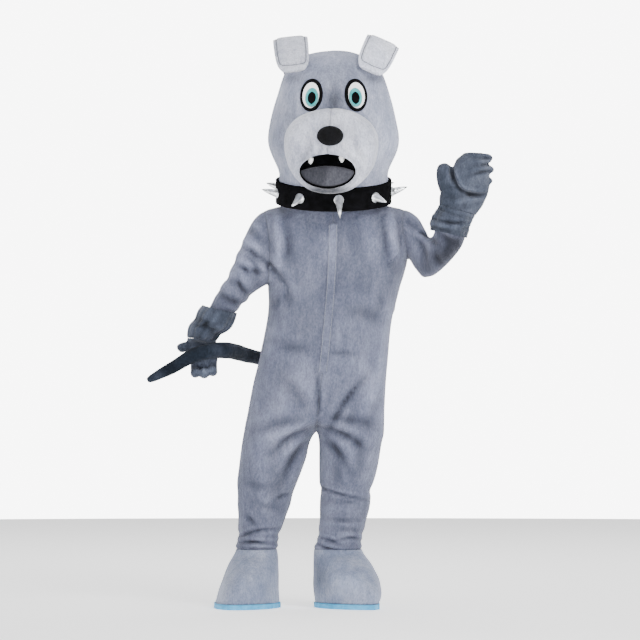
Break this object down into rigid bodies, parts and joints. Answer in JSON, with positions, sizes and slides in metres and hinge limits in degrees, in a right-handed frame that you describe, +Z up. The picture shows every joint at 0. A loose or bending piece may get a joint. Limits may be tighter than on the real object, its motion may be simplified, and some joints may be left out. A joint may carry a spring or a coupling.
{
  "type": "dog mascot costume",
  "caption": "Full-body plush dog mascot costume: zip-front jumpsuit, gloves, shoes, tail, spiked collar and a large hollow dog head, in the pose it is worn in.",
  "frame": {"origin": "the middle of the line between the wearer's shoulders, where the suit hangs", "axes": "+Z up, the costume faces -Y, +X towards the wearer's left hand"},
  "size_m": [1.2097, 0.6163, 2.0056],
  "materials": {
    "grey_plush": "short-pile mid-grey plush with a soft sheen",
    "pale_plush": "short-pile light grey plush",
    "dark_plush": "short-pile dark slate plush",
    "black_cloth": "matt black cloth",
    "white_felt": "white felt",
    "teal_felt": "teal felt",
    "grey_felt": "dark grey felt",
    "silver_cloth": "silver-coated cloth over soft filling",
    "sole_foam": "matt light blue foam rubber"
  },
  "bodies": {
    "root": {"front_panel_right": "grey_plush", "back_panel_right": "grey_plush", "sleeve_right": "grey_plush", "glove_cuff_right": "dark_plush", "glove_hand_right": "dark_plush", "shoe_cover_right": "pale_plush", "shoe_sole_right": "sole_foam", "head_back_right": "grey_plush", "muzzle_right": "pale_plush", "ear_right": "pale_plush", "fang_right": "white_felt", "eye_rim_right": "black_cloth", "eye_white_right": "white_felt", "iris_right": "teal_felt", "pupil_right": "black_cloth", "front_panel_left": "grey_plush", "back_panel_left": "grey_plush", "sleeve_left": "grey_plush", "glove_cuff_left": "dark_plush", "glove_hand_left": "dark_plush", "shoe_cover_left": "pale_plush", "shoe_sole_left": "sole_foam", "head_back_left": "grey_plush", "muzzle_left": "pale_plush", "ear_left": "pale_plush", "fang_left": "white_felt", "eye_rim_left": "black_cloth", "eye_white_left": "white_felt", "iris_left": "teal_felt", "pupil_left": "black_cloth", "front_placket": "grey_plush", "tail": "dark_plush", "collar_band": "black_cloth", "face": "grey_plush", "crown": "grey_plush", "mouth_lining": "black_cloth", "tongue": "grey_felt", "nose": "black_cloth", "spike_1": "silver_cloth", "spike_2": "silver_cloth", "spike_3": "silver_cloth", "spike_4": "silver_cloth", "spike_5": "silver_cloth", "spike_6": "silver_cloth", "spike_7": "silver_cloth", "spike_8": "silver_cloth", "spike_9": "silver_cloth"}
  },
  "joints": []
}
